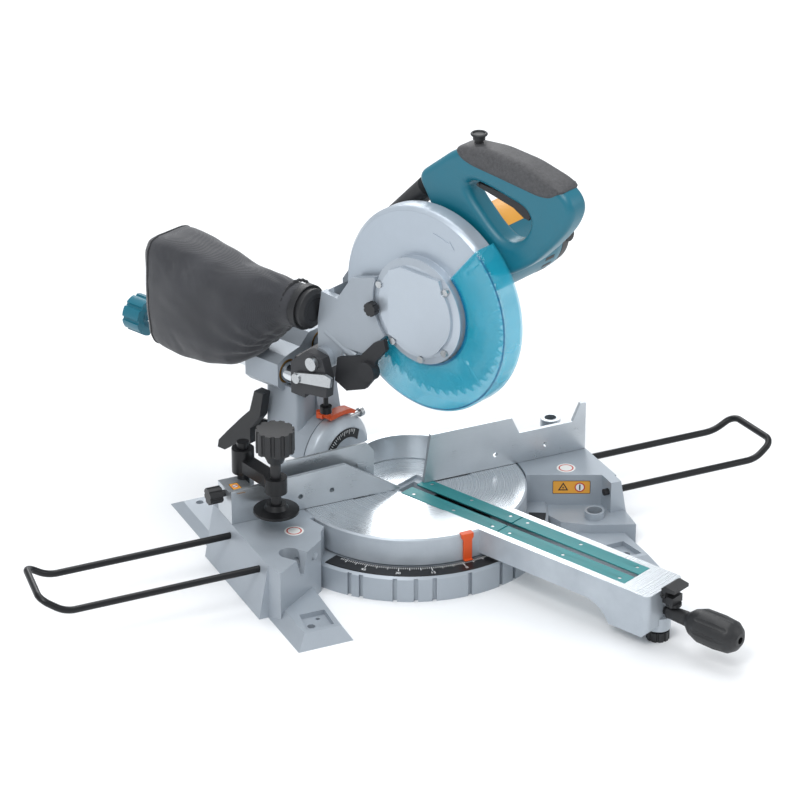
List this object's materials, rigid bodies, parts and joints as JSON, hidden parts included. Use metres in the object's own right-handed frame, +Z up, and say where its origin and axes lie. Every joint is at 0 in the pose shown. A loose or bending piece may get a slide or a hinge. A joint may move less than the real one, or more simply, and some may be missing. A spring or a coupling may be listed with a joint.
{
  "type": "sliding compound mitre saw",
  "caption": "Sliding compound mitre saw on a low cast bench base: turntable with mitre arm, guide fence, hold-down vise, wire work supports, tilting slide head and dust bag.",
  "frame": {"origin": "on the floor, centre of the four bench bolt holes, below the turntable pivot", "axes": "+Z up along the turntable pivot, -Y towards the operator, +X to the right of the operator"},
  "size_m": [0.9223, 0.8247, 0.5126],
  "materials": {
    "silver_paint": "painted satin silver die casting",
    "centre_cover_metal": "painted light silver",
    "machined_aluminium": "milled bright aluminium",
    "scale_black": "black anodised with white divisions",
    "zinc_steel": "zinc plated",
    "black_steel": "black oxide or black paint",
    "black_plastic": "moulded matt black",
    "kerf_teal": "moulded teal",
    "orange_plastic": "moulded orange",
    "teal_plastic": "satin teal moulding",
    "soft_grip": "textured dark grey rubber",
    "clear_teal": "clear tinted polycarbonate",
    "blade_steel": "ground steel with carbide teeth",
    "chrome_tube": "hard chrome",
    "bush_bronze": "sintered bronze",
    "drive_steel": "machined steel",
    "bag_fabric": "woven polyester, dark grey"
  },
  "bodies": {
    "base": {"base_casting": "silver_paint", "mitre_scale_plate": "scale_black", "guide_fence": "machined_aluminium", "fence_bolts": "zinc_steel", "pivot_bolt": "zinc_steel"},
    "left_wire": {"left_wire_support": "black_steel"},
    "right_wire": {"right_wire_support": "black_steel"},
    "vise_column": {"vise_post": "black_steel"},
    "vise_slider": {"vise_arm": "black_steel"},
    "vise_spindle": {"vise_screw": "black_plastic", "vise_pad": "black_steel"},
    "post_knob": {"post_lock_knob": "black_plastic"},
    "turntable": {"turntable_casting": "silver_paint", "kerf_boards_left": "kerf_teal", "kerf_boards_right": "kerf_teal", "kerf_board_screws": "zinc_steel", "mitre_pointer": "orange_plastic", "bevel_scale_plate": "scale_black", "bevel_stop_bolt": "black_steel", "grip_rod": "zinc_steel"},
    "foot_screw": {"front_foot_screw": "black_plastic"},
    "grip": {"mitre_grip": "black_plastic"},
    "detent": {"detent_lever": "black_plastic"},
    "bevel_arm": {"bevel_arm_casting": "silver_paint", "pole_bushes": "bush_bronze", "bevel_pivot_shaft": "zinc_steel"},
    "bevel_lock": {"bevel_lock_lever": "black_steel"},
    "bevel_release": {"bevel_release_lever": "orange_plastic"},
    "slide_lock": {"slide_lock_knob": "black_plastic"},
    "carriage": {"slide_poles": "chrome_tube", "pole_end_cap": "teal_plastic", "carriage_casting": "black_steel", "head_pivot_pin": "zinc_steel", "return_spring": "black_steel", "depth_stop_screw": "zinc_steel"},
    "depth_stop": {"depth_stop_arm": "black_steel"},
    "head": {"blade_case": "silver_paint", "centre_cover": "centre_cover_metal", "cover_screws": "zinc_steel", "gear_case": "silver_paint", "motor_housing": "teal_plastic", "motor_end_cap": "black_plastic", "brush_caps": "black_plastic", "handle_housing": "teal_plastic", "handle_grip": "soft_grip", "handle_tube": "black_plastic", "dust_boot": "black_plastic", "dust_nozzle": "silver_paint", "bag_ring": "black_plastic", "dust_bag": "bag_fabric", "case_knob": "black_plastic", "cord_gland": "black_plastic"},
    "rotor": {"armature": "drive_steel"},
    "blade": {"saw_blade": "blade_steel", "arbor_shaft": "drive_steel", "blade_flanges": "black_steel", "blade_bolt": "zinc_steel"},
    "guard": {"lower_guard": "clear_teal"},
    "trigger": {"trigger": "black_plastic"},
    "lock_off": {"lock_off_button": "black_plastic"}
  },
  "joints": [
    {"name": "left_wire_slide", "type": "slide", "parent": "base", "child": "left_wire", "axis": [-1, 0, 0], "range_m": [-0.04, 0]},
    {"name": "right_wire_slide", "type": "slide", "parent": "base", "child": "right_wire", "axis": [1, 0, 0], "range_m": [-0.04, 0]},
    {"name": "vise_swing", "type": "hinge", "parent": "base", "child": "vise_column", "pos_m": [-0.196, 0.028, 0.09], "axis": [0, 0, 1], "range_deg": [-25, 0]},
    {"name": "vise_height", "type": "slide", "parent": "vise_column", "child": "vise_slider", "axis": [0, 0, 1], "range_m": [0, 0.02]},
    {"name": "vise_press", "type": "slide", "parent": "vise_slider", "child": "vise_spindle", "axis": [0, 0, 1], "range_m": [-0.0185, 0.013]},
    {"name": "post_knob_turn", "type": "hinge", "parent": "base", "child": "post_knob", "pos_m": [-0.236, 0.014, 0.097], "axis": [1, 0, 0], "range_deg": [0, 360]},
    {"name": "mitre_turn", "type": "hinge", "parent": "base", "child": "turntable", "pos_m": [0, 0, 0.05], "axis": [0, 0, 1], "range_deg": [-74, 32]},
    {"name": "foot_screw_turn", "type": "hinge", "parent": "turntable", "child": "foot_screw", "pos_m": [0.14764, -0.33162, 0.02], "axis": [0, 0, 1], "range_deg": [-180, 180]},
    {"name": "grip_turn", "type": "hinge", "parent": "turntable", "child": "grip", "pos_m": [0.17083, -0.38369, 0.038], "axis": [-0.4067, 0.9135, 0], "range_deg": [0, 180]},
    {"name": "detent_press", "type": "hinge", "parent": "turntable", "child": "detent", "pos_m": [0.15318, -0.34404, 0.064], "axis": [0.9135, 0.4067, 0], "range_deg": [0, 5], "stiffness_Nm_per_rad": 2, "springref_deg": -2.86},
    {"name": "bevel_tilt", "type": "hinge", "parent": "turntable", "child": "bevel_arm", "pos_m": [-0.05288, 0.11876, 0.066], "axis": [-0.4067, 0.9135, 0], "range_deg": [-43.5, 5]},
    {"name": "bevel_lock_turn", "type": "hinge", "parent": "bevel_arm", "child": "bevel_lock", "pos_m": [-0.08338, 0.18728, 0.066], "axis": [-0.4067, 0.9135, 0], "range_deg": [-24, 0]},
    {"name": "bevel_release_turn", "type": "hinge", "parent": "bevel_arm", "child": "bevel_release", "pos_m": [-0.06779, 0.10555, 0.12], "axis": [0, 0, -1], "range_deg": [0, 20]},
    {"name": "slide_lock_turn", "type": "hinge", "parent": "bevel_arm", "child": "slide_lock", "pos_m": [-0.02998, 0.19026, 0.172], "axis": [0.9135, 0.4067, 0], "range_deg": [0, 360]},
    {"name": "carriage_slide", "type": "slide", "parent": "bevel_arm", "child": "carriage", "axis": [0.4067, -0.9135, 0], "range_m": [0, 0.171]},
    {"name": "depth_stop_turn", "type": "hinge", "parent": "carriage", "child": "depth_stop", "pos_m": [-0.09774, 0.0966, 0.18], "axis": [0.9135, 0.4067, 0], "range_deg": [-6, 12]},
    {"name": "head_swing", "type": "hinge", "parent": "carriage", "child": "head", "pos_m": [-0.04271, 0.09592, 0.205], "axis": [0.9135, 0.4067, 0], "range_deg": [0, 48.5], "stiffness_Nm_per_rad": 8, "springref_deg": -126.05},
    {"name": "blade_spin", "type": "hinge", "parent": "head", "child": "blade", "pos_m": [0.0122, -0.02741, 0.303], "axis": [0.9135, 0.4067, 0], "continuous": true},
    {"name": "armature_spin", "type": "hinge", "parent": "head", "child": "rotor", "pos_m": [0.07905, -0.03002, 0.35863], "axis": [0.9135, 0.4067, 0], "continuous": true},
    {"name": "guard_turn", "type": "hinge", "parent": "head", "child": "guard", "pos_m": [0.0122, -0.02741, 0.303], "axis": [0.9135, 0.4067, 0], "range_deg": [-140, 0]},
    {"name": "trigger_pull", "type": "hinge", "parent": "head", "child": "trigger", "pos_m": [0.06096, -0.05824, 0.455], "axis": [0.9135, 0.4067, 0], "range_deg": [-4, 0], "stiffness_Nm_per_rad": 1, "springref_deg": 2.86},
    {"name": "lock_off_press", "type": "slide", "parent": "head", "child": "lock_off", "axis": [0, 0, -1], "range_m": [0, 0.004], "stiffness_N_per_m": 200, "springref_m": -0.002}
  ],
  "couplings": [
    {"joint": "guard_turn", "follows": "head_swing", "ratio": -2.8866},
    {"joint": "armature_spin", "follows": "blade_spin", "ratio": -4.25}
  ]
}
